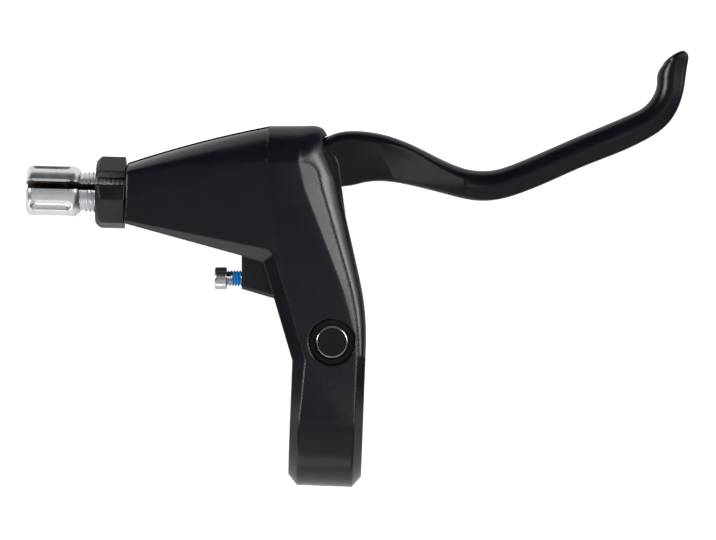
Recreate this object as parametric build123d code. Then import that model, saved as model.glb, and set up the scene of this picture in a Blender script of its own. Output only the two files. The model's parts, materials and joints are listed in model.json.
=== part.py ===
from build123d import *
import os
from math import cos, radians, sin, sqrt, tan

# A right-hand brake lever for a flat handlebar, in millimetres.
# The origin is the middle of the handlebar clamp. +X runs along the bar to its end, +Y is forward
# and +Z is up. The lever lies level, with the finger blade in front of the bar.

# Handlebar clamp
BAR_DIAMETER = 22.2
CLAMP_CLEARANCE = 0.05
CLAMP_WALL = 3.9
CLAMP_WIDTH = 17.8
CLAMP_CHAMFER_SIDE = 2.2
CLAMP_CHAMFER_RISE = 2.6
CLAMP_SLIT = 2.0
EAR_WIDTH = 11.0
EAR_LENGTH = 8.0
EAR_WALL = 3.0
EAR_CHAMFER = 1.5
CLAMP_BOLT_DIAMETER = 5.0
CLAMP_BOLT_LENGTH = 15.0
CLAMP_BOLT_HEAD_DIAMETER = 8.5
CLAMP_BOLT_HEAD_HEIGHT = 5.0
CLAMP_BOLT_KEY = 4.0
CLAMP_BOLT_KEY_DEPTH = 2.5
CLAMP_NUT_WIDTH = 8.0
CLAMP_NUT_HEIGHT = 3.2
BOLT_HOLE_CLEARANCE = 0.25
SEAT_CLEARANCE = 0.15

# Lever pivot and cable line
PIVOT_X = 0.6
PIVOT_Y = 20.4
CABLE_LEVER_ARM = 35.1
CABLE_TOE = 0.7
AXLE_DIAMETER = 6.0
AXLE_HEAD_DIAMETER = 8.2
AXLE_HEAD_HEIGHT = 2.0
AXLE_HEAD_CHAMFER = 0.4
AXLE_TAIL = 1.2
HEAD_RECESS = 0.2
TAIL_RECESS = 3.0
RUNNING_CLEARANCE = 0.05
BUSH_WALL = 1.2
BUSH_FLANGE_DIAMETER = 11.2
BUSH_FLANGE = 0.8
PRESS_GAP = 0.02
COLLAR_OUTER_DIAMETER = 11.0
COLLAR_HEIGHT = 1.2
CLIP_ROOM = 0.85
CLIP_THICKNESS = 0.8
CLIP_DIAMETER = 9.6
CLIP_GROOVE_DIAMETER = 4.6
CLIP_MOUTH = 4.0

# Bracket: the arm from the clamp to the pivot and the head
FACE_TAPER = 5.2
ARM_STRAIGHT_LEFT = 15.5
ARM_LEAN_LEFT = 18.7
ARM_STRAIGHT_RIGHT = 19.5
ARM_LEAN_RIGHT = 15.0
ARM_BEND_RADIUS = 65.0
REAR_CHAMFER_WIDTH = 3.4
REAR_CHAMFER_DROP = 2.5
SIDE_CHAMFER_TILT = 15.0
SIDE_CHAMFER_WIDTH = 4.2
SIDE_BEAD_WIDTH = 4.5
SIDE_BEAD_END_WIDTH = 1.9
SIDE_BEAD_DROP = 1.5
SIDE_GROOVE_WIDTH = 0.35
SIDE_GROOVE_DEPTH = 0.45
SIDE_TAPER_START = 17.0
SIDE_TAPER_END = 57.4
FRONT_CORNER_RADIUS = 3.2
CREASE_CORNER_RADIUS = 4.2
ELBOW_OUTSET = 0.4
NECK_INSET = 0.05
FACE_STEP = 0.05
BAND_OVERLAP = 0.8
BAND_MARGIN = 0.1
FAN_LEAD = 0.8

# Bracket: the head and the cable arm
ELBOW_Y = 39.3
NOSE_Y = 72.6
NOSE_DEPTH = 9.0
NOSE_END_DEPTH = 2.8
NOSE_TOE = 2.2
NOSE_TILT = 11.0
NOSE_EDGE = 0.3
NOSE_SWEEP = 13.0
NOSE_BOW = 0.0021
REAR_RISE = 13.2
BODY_END = 51.4
END_DROP = 2.0
END_CHAMFER = 0.8
CABLE_SLOT = 2.2
SLOT_LIP = 0.5
CHANNEL_DIAMETER = 3.2

# Hollow for the root of the blade
HOLLOW_HEIGHT = 11.4
HOLLOW_GAP = 0.9
HOLLOW_REACH = 50.4
HOLLOW_FRONT_ROUND = 2.4
WINDOW_MARGIN = 1.4

# Lever blade: the root
ROOT_HEIGHT = 10.8
EYE_DIAMETER = 15.0
FORK_GAP = 4.4
FORK_CLEARANCE = 0.7
SEAT_OFFSET = 8.2
CABLE_END_DIAMETER = 7.0
CABLE_END_CLEARANCE = 0.1
CABLE_END_WALL = 2.6
CABLE_END_ROOF = 2.4
WIRE_SLOT = 2.4

# Lever blade: the finger blade, along its middle line
BLADE_START_X = -1.35
BLADE_START_Y = 63.85
BLADE_START_HEADING = 25.0
BLADE_START_DEPTH = 1.6
HUMP_RADIUS = 22.0
HUMP_TURN = 25.0
SHOULDER_RADIUS = 30.0
SHOULDER_TURN = 17.0
FALL_LENGTH = 12.9
VALLEY_RADIUS = 21.0
VALLEY_TURN = 42.3
RISE_LENGTH = 32.8
TIP_RADIUS = 12.5
TIP_TURN = 55.0
TIP_LENGTH = 8.2
TIP_SLANT = 36.0
BLADE_ROOT_WIDTH = 13.0
BLADE_TAPER_START = 6.0
BLADE_TAPER_LENGTH = 23.0
BLADE_WIDTH = 7.3
BLADE_TIP_WIDTH = 6.2
BLADE_HEIGHT = 8.2
BLADE_TIP_HEIGHT = 7.8
ROOT_FRONT_LIFT = 0.35
ROOT_LIFT_LENGTH = 7.0
THINNING_START = 20.0
THINNING_LENGTH = 16.0
BLADE_ROOT_STEP = 0.1
ROOT_FRONT_ROUND = 2.5
ROOT_REAR_ROUND = 0.8
BLADE_FRONT_ROUND = 4.2
BLADE_REAR_ROUND = 1.2
BLADE_REAR_FALL = 0.35
TIP_ROUND = 1.0
FACET_X = 12.2
FACET_Y = 64.4
FACET_HEADING = 29.0
FACET_TILT = 5.0
FACET_LENGTH = 15.0
LUG_DIAMETER = 9.6
LUG_BACK = 2.8

# Barrel adjuster
BARREL_THREAD_DIAMETER = 10.0
BARREL_HEAD_DIAMETER = 12.3
BARREL_HEAD_LENGTH = 11.5
BARREL_NECK_LENGTH = 1.6
BARREL_SHOWN_THREAD = 3.9
BARREL_BURIED_THREAD = 12.5
BARREL_SLOT = 1.6
BARREL_SLOT_ANGLE = 14.0
BARREL_ROUND = 1.6
BARREL_RELIEF = 0.4
THREAD_CHAMFER = 0.6
FLUTE_COUNT = 7
FLUTE_WIDTH = 2.1
FLUTE_DEPTH = 0.7
FLUTE_MARGIN = 1.0
HOUSING_DIAMETER = 6.0
HOUSING_CLEARANCE = 0.1
HOUSING_DEPTH = 9.0
LOCK_RING_FLATS = 16.6
LOCK_RING_TURN = -11.6
LOCK_RING_THICKNESS = 7.2
LOCK_RING_SLOT = 3.4
LOCK_RING_SLOT_ANGLE = 24.0
LOCK_RING_SIDES = 8
LOCK_RING_CHAMFER = 1.4
LOCK_RING_GAP = 0.15

# Reach screw and its boss
REACH_LEVER_ARM = 15.5
REACH_TOE = 2.2
SCREW_DIAMETER = 4.0
SCREW_HEAD_DIAMETER = 5.4
SCREW_HEAD_HEIGHT = 2.95
SCREW_KEY = 2.0
SCREW_KEY_DEPTH = 1.5
SCREW_SHOWN = 3.7
SCREW_TIP_GAP = 0.2
SCREW_RIM = 0.4
STOP_PAD_DEPTH = 0.5
STOP_PAD_WIDTH = 5.2
BOSS_FACE = 22.1
BOSS_DROP = 2.6
BOSS_LEAN = 14.4
BOSS_HEIGHT = 10.0
BOSS_CHAMFER = 0.8

# Return spring
SPRING_WIRE = 0.8
SPRING_TURNS = 3
SPRING_PITCH = 0.92
SPRING_GAP = 0.7
SPRING_LEG = 6.0

# Where the sections of the lofts lie, as shares of each stretch
BEND_PLACES = (0, 1 / 3, 2 / 3, 1)
FAN_PLACES = (0, 1 / 6, 1 / 3, 1 / 2, 2 / 3, 5 / 6, 1)
TIP_ROUND_PLACES = (0, 7 / 18, 13 / 18, 1)
BLADE_PLACES = [(0.3, 0.65), (0, 0.5), (0, 0.5), (0, 1 / 3, 2 / 3), (0, 0.5), (0, 1 / 3, 2 / 3), (0, 1)]

# Shape factors, the sides of a hexagon key and a length beyond the whole lever
QUARTER_ROUND = 0.5523
FRONT_ROUND_LIMIT = 0.9
FRONT_WIDTH_LIMIT = 0.6
REAR_WIDTH_LIMIT = 0.25
KEY_SIDES = 6
BIG = 200.0

# Places and sizes that follow from the values above
BORE_RADIUS = BAR_DIAMETER / 2 + CLAMP_CLEARANCE
RING_RADIUS = BORE_RADIUS + CLAMP_WALL
ARM_HALF = CLAMP_WIDTH / 2
HOLLOW_HALF = HOLLOW_HEIGHT / 2
ROOT_HALF = ROOT_HEIGHT / 2
TAPER = radians(FACE_TAPER)
TANGENT_Y = RING_RADIUS * sin(TAPER)

PIVOT = Vector(PIVOT_X, PIVOT_Y)
ALONG = Vector(1, 0).rotate(Axis.Z, CABLE_TOE)
FORWARD = Vector(0, 1).rotate(Axis.Z, CABLE_TOE)
REACH_ALONG = Vector(1, 0).rotate(Axis.Z, REACH_TOE)
REACH_FORWARD = Vector(0, 1).rotate(Axis.Z, REACH_TOE)
CABLE_FOOT = PIVOT + FORWARD * CABLE_LEVER_ARM
REACH_FOOT = PIVOT + REACH_FORWARD * REACH_LEVER_ARM
CABLE_SEAT = CABLE_FOOT - ALONG * SEAT_OFFSET
BODY_END_POINT = CABLE_FOOT - ALONG * BODY_END
SEAT_RADIUS = CABLE_END_DIAMETER / 2 + CABLE_END_CLEARANCE
HEAD_RADIUS = SEAT_RADIUS + CABLE_END_WALL
EYE_RADIUS = EYE_DIAMETER / 2
AXLE_BORE = AXLE_DIAMETER / 2 + RUNNING_CLEARANCE
BUSH_RADIUS = AXLE_BORE + BUSH_WALL
EYE_HALF = HOLLOW_HALF - SEAT_CLEARANCE - BUSH_FLANGE
HOLLOW_LEFT = CABLE_SEAT.X - HEAD_RADIUS - HOLLOW_GAP
THREAD_HOLE_RADIUS = BARREL_THREAD_DIAMETER / 2 + RUNNING_CLEARANCE
SCREW_HOLE_RADIUS = SCREW_DIAMETER / 2 + RUNNING_CLEARANCE
HOLE_DEPTH = BARREL_BURIED_THREAD + HOLLOW_GAP
ADJUSTER = Plane(origin=BODY_END_POINT, x_dir=(0, 0, 1), z_dir=-ALONG)
REACH = Plane(origin=REACH_FOOT, x_dir=(0, 0, 1), z_dir=-REACH_ALONG)


def face_height(y):
    """Height of the tapering top face: a plane that touches the round of the clamp."""
    return (RING_RADIUS - y * sin(TAPER)) / cos(TAPER)


def left_wall(y):
    """Left side of the arm: straight beside the clamp, then leaning out to the elbow."""
    return -ARM_HALF - max(y - ARM_STRAIGHT_LEFT, 0) * tan(radians(ARM_LEAN_LEFT))


def right_wall(y):
    """Right side of the arm: straight, then an arc, then a line that leans in to the nose."""
    lean = radians(ARM_LEAN_RIGHT)
    rise = y - ARM_STRAIGHT_RIGHT
    bend = ARM_BEND_RADIUS * sin(lean)
    if rise <= 0:
        return ARM_HALF
    if rise < bend:
        return ARM_HALF - ARM_BEND_RADIUS + sqrt(ARM_BEND_RADIUS**2 - rise**2)
    return ARM_HALF - ARM_BEND_RADIUS * (1 - cos(lean)) - (rise - bend) * tan(lean)


HEAD_SEAT_Z = face_height(PIVOT_Y) - HEAD_RECESS - AXLE_HEAD_HEIGHT
CLIP_SEAT_Z = TAIL_RECESS - face_height(PIVOT_Y)
ELBOW_X = left_wall(ELBOW_Y)
END_X = BODY_END_POINT.X - SLOT_LIP
ARM_SPAN = ELBOW_X - END_X
HEAD_TOP = NOSE_Y - NOSE_DEPTH


def mix(a, b, share):
    """A value or point part of the way from a to b."""
    return a + (b - a) * share


def heading_vector(turn):
    """Direction in plan, as degrees from +X."""
    return Vector(cos(radians(turn)), sin(radians(turn)))


def rounded(start, corner, end):
    """A quarter round from start to end, tangent to the lines that meet in the corner."""
    start, corner, end = Vector(*start), Vector(*corner), Vector(*end)
    return Bezier(start, mix(start, corner, QUARTER_ROUND), mix(end, corner, QUARTER_ROUND), end)


def across(x):
    """The upright plane at one place along the bar, with its own x forward and y up."""
    return Plane(origin=(x, 0, 0), x_dir=(0, 1, 0), z_dir=(1, 0, 0))


def along(y):
    """The upright plane at one distance in front of the bar, with its own x along it and y up."""
    return Plane(origin=(0, y, 0), x_dir=(1, 0, 0), z_dir=(0, -1, 0))


def upright(x, y, radius, low, high):
    """A vertical cylinder between two heights."""
    return Pos(x, y, low) * extrude(Circle(radius), high - low)


def plate(outline, low, high):
    """A flat outline raised between two heights."""
    return Pos(0, 0, low) * extrude(make_face(outline), high - low)


# Bracket body


def nose_front(x):
    """Front edge in plan: straight on the head, swept back on the cable arm."""
    back = ELBOW_X - x
    if back <= 0:
        return NOSE_Y - back * tan(radians(NOSE_TOE))
    return NOSE_Y - back * (tan(radians(NOSE_SWEEP)) + NOSE_BOW * back)


def cable_arm_section(x):
    """Section of the cable arm: flat faces, a round nose with a lip, and chamfers at the rear."""
    share = (ELBOW_X - x) / ARM_SPAN
    drop = END_DROP * share
    front = nose_front(x)
    depth = mix(NOSE_DEPTH, NOSE_END_DEPTH, share)
    flat = front - depth
    rear = ELBOW_Y + (ELBOW_X - x) * tan(radians(REAR_RISE))
    inset = mix(REAR_CHAMFER_WIDTH, END_CHAMFER, share)
    high_front = face_height(flat) - drop
    high_rear = face_height(rear + inset) - drop
    wall = face_height(rear) - drop - mix(REAR_CHAMFER_DROP, END_CHAMFER, share)
    lip = front - SLOT_LIP
    corner = high_front - depth * tan(radians(NOSE_TILT))
    edges = [
        Line((rear + inset, high_rear), (flat, high_front)),
        rounded((flat, high_front), (lip, corner), (lip, 0)),
        Line((lip, 0), (front, 0)),
        rounded((front, 0), (front, -corner), (flat, -high_front)),
        Line((flat, -high_front), (rear + inset, -high_rear)),
        Line((rear + inset, -high_rear), (rear, -wall)),
        Line((rear, -wall), (rear, wall)),
        Line((rear, wall), (rear + inset, high_rear)),
    ]
    return across(x) * make_face(edges)


def side_widths(y):
    """Widths of the band and of the chamfer along the right side, which both narrow to the pivot."""
    share = min((y - SIDE_TAPER_START) / (SIDE_TAPER_END - SIDE_TAPER_START), 1)
    band = mix(SIDE_BEAD_END_WIDTH, SIDE_BEAD_WIDTH, share)
    return band, mix(SIDE_GROOVE_WIDTH, SIDE_CHAMFER_WIDTH, share)


def crease_line(y):
    """Where the crease between the chamfer and the band lies along the right side."""
    return right_wall(y) - side_widths(y)[0]


def top_height(x, y):
    """Height of the flat face, and of the chamfer along its right side."""
    edge = right_wall(y) - sum(side_widths(y))
    return face_height(y) - max(x - edge, 0) * tan(radians(SIDE_CHAMFER_TILT))


def core_section(y, wall, chamfered):
    """Section of the arm inside the crease: a flat face, with a chamfer on the right and maybe the left."""
    high = face_height(y)
    edge = right_wall(y) - sum(side_widths(y))
    far = right_wall(y) + SIDE_BEAD_WIDTH
    low = top_height(far, y)
    points = [(edge, high), (far, low), (far, -low), (edge, -high)]
    if chamfered:
        inner = wall + REAR_CHAMFER_WIDTH
        side = high - REAR_CHAMFER_DROP
        points += [(inner, -high), (wall, -side), (wall, side), (inner, high)]
    else:
        points += [(wall, -high), (wall, high)]
    return along(y) * make_face(Polyline(*points, points[0]))


def head_corner(setback, inset):
    """Where the front line, set back, meets the leaning right line, set in."""
    slope = tan(radians(NOSE_TOE)) * tan(radians(ARM_LEAN_RIGHT))
    x = right_wall(HEAD_TOP) - inset
    y = (nose_front(x) - setback + slope * HEAD_TOP) / (1 + slope)
    return Vector(x - (y - HEAD_TOP) * tan(radians(ARM_LEAN_RIGHT)), y)


def crease_round():
    """The rounded corner of the crease, between the front line and the right side, in plan."""
    corner = head_corner(NOSE_DEPTH, SIDE_BEAD_WIDTH)
    left = Vector(ELBOW_X, nose_front(ELBOW_X) - NOSE_DEPTH)
    low = Vector(crease_line(SIDE_TAPER_END), SIDE_TAPER_END)
    line = FilletPolyline(left, corner, low, radius=CREASE_CORNER_RADIUS)
    return line.edges().filter_by(GeomType.CIRCLE)[0]


BEND_TOP = ARM_STRAIGHT_RIGHT + ARM_BEND_RADIUS * sin(radians(ARM_LEAN_RIGHT))
SIDE_YS = [mix(ARM_STRAIGHT_RIGHT, BEND_TOP, share) for share in BEND_PLACES]
CREASE_ROUND = crease_round()


def arm_core():
    """The arm and the head inside the crease, up to the front line of the flat face."""
    split = SIDE_YS[-1]
    low = [core_section(y, left_wall(y), True) for y in [SIDE_TAPER_START] + SIDE_YS]
    middle = [core_section(y, left_wall(y), False) for y in (split, ELBOW_Y)]
    high = [core_section(y, ELBOW_X, False) for y in (ELBOW_Y, SIDE_TAPER_END, NOSE_Y)]
    core = loft(low) + loft(middle, ruled=True) + loft(high, ruled=True)
    start, end = CREASE_ROUND @ 0, CREASE_ROUND @ 1
    side = [Vector(crease_line(y), y) for y in [SIDE_TAPER_START] + SIDE_YS]
    front = Vector(ELBOW_X, nose_front(ELBOW_X) - NOSE_DEPTH)
    outline = [
        Polyline(side[0], (-BIG, SIDE_TAPER_START), (-BIG, front.Y), front, start),
        CREASE_ROUND,
        Polyline(end, (crease_line(SIDE_TAPER_END), SIDE_TAPER_END), side[-1]),
        Spline(*reversed(side)),
    ]
    return core & plate(outline, -BIG, BIG)


def side_pair(y):
    """The inner and outer edge of the band at one place on the right side, in plan."""
    return Vector(crease_line(y), y), Vector(right_wall(y), y)


def band_section(inner, outer, turn):
    """Section of the band round the face: a step or crease at its inner edge, then a round to the side."""
    reach = (outer - inner).length
    ahead = (outer - inner).normalized()
    start = top_height(inner.X, inner.Y)
    tilt = tan(radians(mix(NOSE_TILT, SIDE_CHAMFER_TILT, turn)))
    foot = start - mix(FACE_STEP, SIDE_GROOVE_DEPTH, turn)
    lip = start - SIDE_GROOVE_WIDTH * tilt - FACE_STEP * (1 - turn)
    corner = start - reach * tilt
    side = mix(NOSE_EDGE, corner - SIDE_BEAD_DROP, turn)
    seat = foot - (lip - foot) / SIDE_GROOVE_WIDTH * BAND_MARGIN
    edges = [
        Line((-BAND_OVERLAP, seat), (-BAND_MARGIN, seat)),
        Line((-BAND_MARGIN, seat), (SIDE_GROOVE_WIDTH, lip)),
        rounded((SIDE_GROOVE_WIDTH, lip), (reach, corner), (reach, side)),
        Line((reach, side), (reach, -side)),
        rounded((reach, -side), (reach, -corner), (SIDE_GROOVE_WIDTH, -lip)),
        Line((SIDE_GROOVE_WIDTH, -lip), (-BAND_MARGIN, -seat)),
        Line((-BAND_MARGIN, -seat), (-BAND_OVERLAP, -seat)),
        Line((-BAND_OVERLAP, -seat), (-BAND_OVERLAP, seat)),
    ]
    return Plane(origin=inner, x_dir=ahead, z_dir=(ahead.Y, -ahead.X, 0)) * make_face(edges)


def face_band():
    """The rounded band: along the front of the head, round its corner and down the right side."""
    inner_start, inner_end = CREASE_ROUND @ 0, CREASE_ROUND @ 1
    outer_start = Vector(inner_start.X, nose_front(inner_start.X))
    outer_end = Vector(right_wall(inner_end.Y), inner_end.Y)
    outer = FilletPolyline(outer_start, head_corner(0, 0), outer_end, radius=FRONT_CORNER_RADIUS)
    front = [Vector(x, nose_front(x)) for x in (ELBOW_X, inner_start.X - FAN_LEAD)]
    front = [band_section(p - Vector(0, NOSE_DEPTH), p, 0) for p in front]
    fan = [front[-1]] + [band_section(CREASE_ROUND @ q, outer @ q, q) for q in FAN_PLACES]
    fan.append(band_section(*side_pair(inner_end.Y - FAN_LEAD), 1))
    straight = [band_section(*side_pair(y), 1) for y in (SIDE_TAPER_END, BEND_TOP)]
    bend = [band_section(*side_pair(y), 1) for y in SIDE_YS[::-1] + [SIDE_TAPER_START]]
    band = loft(front, ruled=True) + loft(fan)
    return band + loft([fan[-1]] + straight, ruled=True) + loft(bend)


def neck_section(y):
    """Section between the arm and the clamp, which ends as the chamfered section of the clamp."""
    share = (y - TANGENT_Y) / (SIDE_TAPER_START - TANGENT_Y)
    high = face_height(y)
    left = mix(CLAMP_CHAMFER_SIDE + NECK_INSET, REAR_CHAMFER_WIDTH, share)
    left_fall = mix(CLAMP_CHAMFER_RISE + NECK_INSET, REAR_CHAMFER_DROP, share)
    right = mix(CLAMP_CHAMFER_SIDE + NECK_INSET, sum(side_widths(SIDE_TAPER_START)), share)
    right_fall = mix(CLAMP_CHAMFER_RISE + NECK_INSET, SIDE_BEAD_DROP, share)
    wall = left_wall(y)
    outline = Polyline(
        (wall + left, high),
        (ARM_HALF - right, high),
        (ARM_HALF, high - right_fall),
        (ARM_HALF, right_fall - high),
        (ARM_HALF - right, -high),
        (wall + left, -high),
        (wall, left_fall - high),
        (wall, high - left_fall),
        (wall + left, high),
    )
    return along(y) * make_face(outline)


def elbow_chamfer(point, inward, width):
    """Section of the cutter for the rear chamfer: what lies above it at one place on the wall."""
    wall = face_height(point.Y) - REAR_CHAMFER_DROP
    edge = face_height((point + inward * width).Y)
    slope = (edge - wall) / width
    back, past = -ELBOW_OUTSET / 2, width + SIDE_BEAD_WIDTH
    outline = Polyline(
        (back, wall + slope * back),
        (past, wall + slope * past),
        (back, wall + slope * past),
        (back, wall + slope * back),
    )
    return Plane(origin=point, x_dir=inward, z_dir=(inward.Y, -inward.X, 0)) * make_face(outline)


def elbow_cuts():
    """The rear chamfer round the inside of the elbow: along the arm, in a fan, and along the cable arm."""
    corner = Vector(ELBOW_X, ELBOW_Y)
    cable_turn = 90 - REAR_RISE
    arm_in, cable_in = heading_vector(ARM_LEAN_LEFT), heading_vector(cable_turn)
    arm_width = REAR_CHAMFER_WIDTH * cos(radians(ARM_LEAN_LEFT))
    cable_width = REAR_CHAMFER_WIDTH * cos(radians(REAR_RISE))
    hub = corner - (arm_in + cable_in) * (ELBOW_OUTSET / (1 + arm_in.dot(cable_in)))
    fan = []
    for share in FAN_PLACES:
        inward = heading_vector(mix(ARM_LEAN_LEFT, cable_turn, share))
        fan.append(elbow_chamfer(hub + inward * ELBOW_OUTSET, inward, mix(arm_width, cable_width, share)))
    low_y = SIDE_YS[-1] - REAR_CHAMFER_WIDTH / 2
    low = elbow_chamfer(Vector(left_wall(low_y), low_y), arm_in, arm_width)
    beside = corner - cable_in.rotate(Axis.Z, -90) * REAR_CHAMFER_WIDTH / 2
    cable = loft([fan[-1], elbow_chamfer(beside, cable_in, cable_width)], ruled=True)
    upper = loft([low, fan[0]], ruled=True) + loft(fan) + cable
    return [upper, mirror(upper, Plane.XY)]


def bracket_arm():
    """The arm: the core and the band round its face, with the neck down to the clamp."""
    neck = loft([neck_section(y) for y in (TANGENT_Y, ARM_STRAIGHT_LEFT, SIDE_TAPER_START)], ruled=True)
    return arm_core() + face_band() + neck


def cable_arm():
    """The cable arm, lofted from the elbow to the end that carries the adjuster."""
    places = (END_X, (END_X + ELBOW_X) / 2, ELBOW_X)
    return loft([cable_arm_section(x) for x in places])


def clamp_ring():
    """The round of the clamp with its chamfers, solid until the bar's bore is cut."""
    outline = Polyline(
        (-ARM_HALF, 0),
        (-ARM_HALF, RING_RADIUS - CLAMP_CHAMFER_RISE),
        (CLAMP_CHAMFER_SIDE - ARM_HALF, RING_RADIUS),
        (ARM_HALF - CLAMP_CHAMFER_SIDE, RING_RADIUS),
        (ARM_HALF, RING_RADIUS - CLAMP_CHAMFER_RISE),
        (ARM_HALF, 0),
        (-ARM_HALF, 0),
    )
    return revolve(make_face(outline), Axis.X)


BOLT_HOLE_RADIUS = CLAMP_BOLT_DIAMETER / 2 + BOLT_HOLE_CLEARANCE
BOLT_Z = -(RING_RADIUS + CLAMP_BOLT_HEAD_DIAMETER / 2 - BOLT_HOLE_CLEARANCE)
EAR_HALF = CLAMP_SLIT / 2 + EAR_LENGTH
EAR_BOTTOM = BOLT_Z - CLAMP_BOLT_HEAD_DIAMETER / 2 - EAR_WALL / 2
HEAD_SEAT_Y = EAR_HALF - CLAMP_BOLT_HEAD_HEIGHT
NUT_SEAT_Y = CLAMP_NUT_HEIGHT - EAR_HALF
BOLT_LINE = Plane(origin=(0, 0, BOLT_Z), x_dir=(1, 0, 0), z_dir=(0, 1, 0))


def clamp_ears():
    """The two ears under the clamp, still joined until the slit is cut."""
    block = Pos(0, 0, EAR_BOTTOM / 2) * Box(EAR_WIDTH, 2 * EAR_HALF, -EAR_BOTTOM)
    low = block.edges().filter_by(Axis.X).group_by(Axis.Z)[0]
    return chamfer(low, EAR_CHAMFER)


def clamp_cuts():
    """The bore of the bar, the slit, and the bolt's hole with its seats for head and nut."""
    bore = Rot(0, 90, 0) * Cylinder(BORE_RADIUS, 2 * BIG)
    slit = Pos(0, 0, EAR_BOTTOM / 2 - CLAMP_WALL) * Box(BIG, CLAMP_SLIT, -EAR_BOTTOM)
    hole = BOLT_LINE * Cylinder(BOLT_HOLE_RADIUS, 4 * EAR_HALF)
    head_radius = CLAMP_BOLT_HEAD_DIAMETER / 2 + BOLT_HOLE_CLEARANCE
    head = BOLT_LINE * Pos(0, 0, HEAD_SEAT_Y) * extrude(Circle(head_radius), EAR_LENGTH)
    nut_room = CLAMP_NUT_WIDTH + 2 * SEAT_CLEARANCE
    nut = BOLT_LINE * Pos(0, 0, NUT_SEAT_Y) * extrude(Rectangle(nut_room, nut_room), -EAR_LENGTH)
    return [bore, slit, hole, head, nut]


def reach_boss():
    """The block in the elbow that carries the reach screw, with its lower edges chamfered."""
    face = REACH_FOOT - REACH_ALONG * BOSS_FACE
    foot = face - REACH_FORWARD * BOSS_DROP
    inner_x = left_wall(foot.Y) + REAR_CHAMFER_WIDTH
    inner = Vector(inner_x, foot.Y - (inner_x - foot.X) * tan(radians(BOSS_LEAN)))
    top = Vector(inner_x, ELBOW_Y + REAR_CHAMFER_WIDTH)
    left = face + REACH_FORWARD * (top.Y - face.Y)
    block = plate(Polyline(left, foot, inner, top, left), -BOSS_HEIGHT / 2, BOSS_HEIGHT / 2)
    rims = [e for e in block.edges() if abs(e.center().Z) > BOSS_HEIGHT / 4 and e.center().Y < foot.Y]
    return chamfer(rims, BOSS_CHAMFER)


def hollow():
    """The room for the root of the blade: round the pivot, open to the right, with an arc in front."""
    radius = EYE_RADIUS + HOLLOW_GAP
    floor = PIVOT - Vector(0, radius)
    turn = PIVOT - Vector(radius, radius) / sqrt(2)
    left = PIVOT - Vector(radius, 0)
    corner = Vector(HOLLOW_LEFT, CABLE_SEAT.Y)
    front_left = Vector(HOLLOW_LEFT, PIVOT_Y + sqrt(HOLLOW_REACH**2 - (HOLLOW_LEFT - PIVOT_X) ** 2))
    half_way = (HOLLOW_LEFT - PIVOT_X) / 2
    front_middle = PIVOT + Vector(half_way, sqrt(HOLLOW_REACH**2 - half_way**2))
    front_right = PIVOT + Vector(0, HOLLOW_REACH)
    outline = [
        ThreePointArc(floor, turn, left),
        Polyline(left, corner, front_left),
        ThreePointArc(front_left, front_middle, front_right),
        Polyline(front_right, (BIG, front_right.Y), (BIG, floor.Y), floor),
    ]
    room = plate(outline, -HOLLOW_HALF, HOLLOW_HALF)
    rims = [e for e in room.edges().filter_by(GeomType.CIRCLE) if e.center().Y > CABLE_SEAT.Y]
    return fillet(rims, HOLLOW_FRONT_ROUND)


def cable_cuts():
    """The threaded hole, the wire's channel, the slot in the nose and the window under the seat."""
    thread = ADJUSTER * Pos(0, 0, -HOLE_DEPTH) * extrude(Circle(THREAD_HOLE_RADIUS), HOLE_DEPTH + BIG)
    channel = ADJUSTER * extrude(Circle(CHANNEL_DIAMETER / 2), -(BODY_END - SEAT_OFFSET))
    back = BODY_END_POINT - ALONG * BODY_END
    end = Vector(HOLLOW_LEFT + HOLLOW_GAP / 2, CABLE_SEAT.Y)
    ahead = Vector(0, BIG)
    slot = plate(Polyline(back, end, end + ahead, back + ahead, back), -CABLE_SLOT / 2, CABLE_SLOT / 2)
    window = SEAT_RADIUS + WINDOW_MARGIN
    opening = upright(CABLE_SEAT.X, CABLE_SEAT.Y, window, -BIG, 0)
    return [thread, channel, slot, opening]


def pivot_cuts():
    """The bore of the axle, the counterbore of its head and the recess of its clip."""
    bore = upright(PIVOT_X, PIVOT_Y, AXLE_BORE, -BIG, BIG)
    head = upright(PIVOT_X, PIVOT_Y, COLLAR_OUTER_DIAMETER / 2 + SEAT_CLEARANCE, HEAD_SEAT_Z, BIG)
    tail = upright(PIVOT_X, PIVOT_Y, CLIP_DIAMETER / 2 + CLIP_ROOM, -BIG, CLIP_SEAT_Z)
    return [bore, head, tail]


def bracket_body():
    """The whole casting of the bracket."""
    body = (bracket_arm() + cable_arm() - elbow_cuts()) + clamp_ring() + reach_boss() + clamp_ears()
    beyond_end = ADJUSTER * Pos(0, 0, BIG / 2) * Box(BIG, BIG, BIG)
    screw_hole = REACH * Pos(0, 0, -BOSS_FACE) * extrude(Circle(SCREW_HOLE_RADIUS), 2 * BOSS_FACE)
    return body - [beyond_end, screw_hole, hollow()] - clamp_cuts() - cable_cuts() - pivot_cuts()


# Lever blade


def root_plate():
    """The root: a hull round the pivot eye, the seat of the cable end and the start of the blade."""
    lug = Vector(BLADE_START_X - LUG_BACK, BLADE_START_Y - LUG_BACK / 2)
    rounds = [Pos(PIVOT_X, PIVOT_Y) * Circle(EYE_RADIUS)]
    rounds += [Pos(CABLE_SEAT.X, CABLE_SEAT.Y) * Circle(HEAD_RADIUS)]
    rounds += [Pos(lug.X, lug.Y) * Circle(LUG_DIAMETER / 2)]
    outline = make_hull([e for r in rounds for e in r.edges()])
    return Pos(0, 0, -ROOT_HALF) * extrude(outline, ROOT_HEIGHT)


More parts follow.
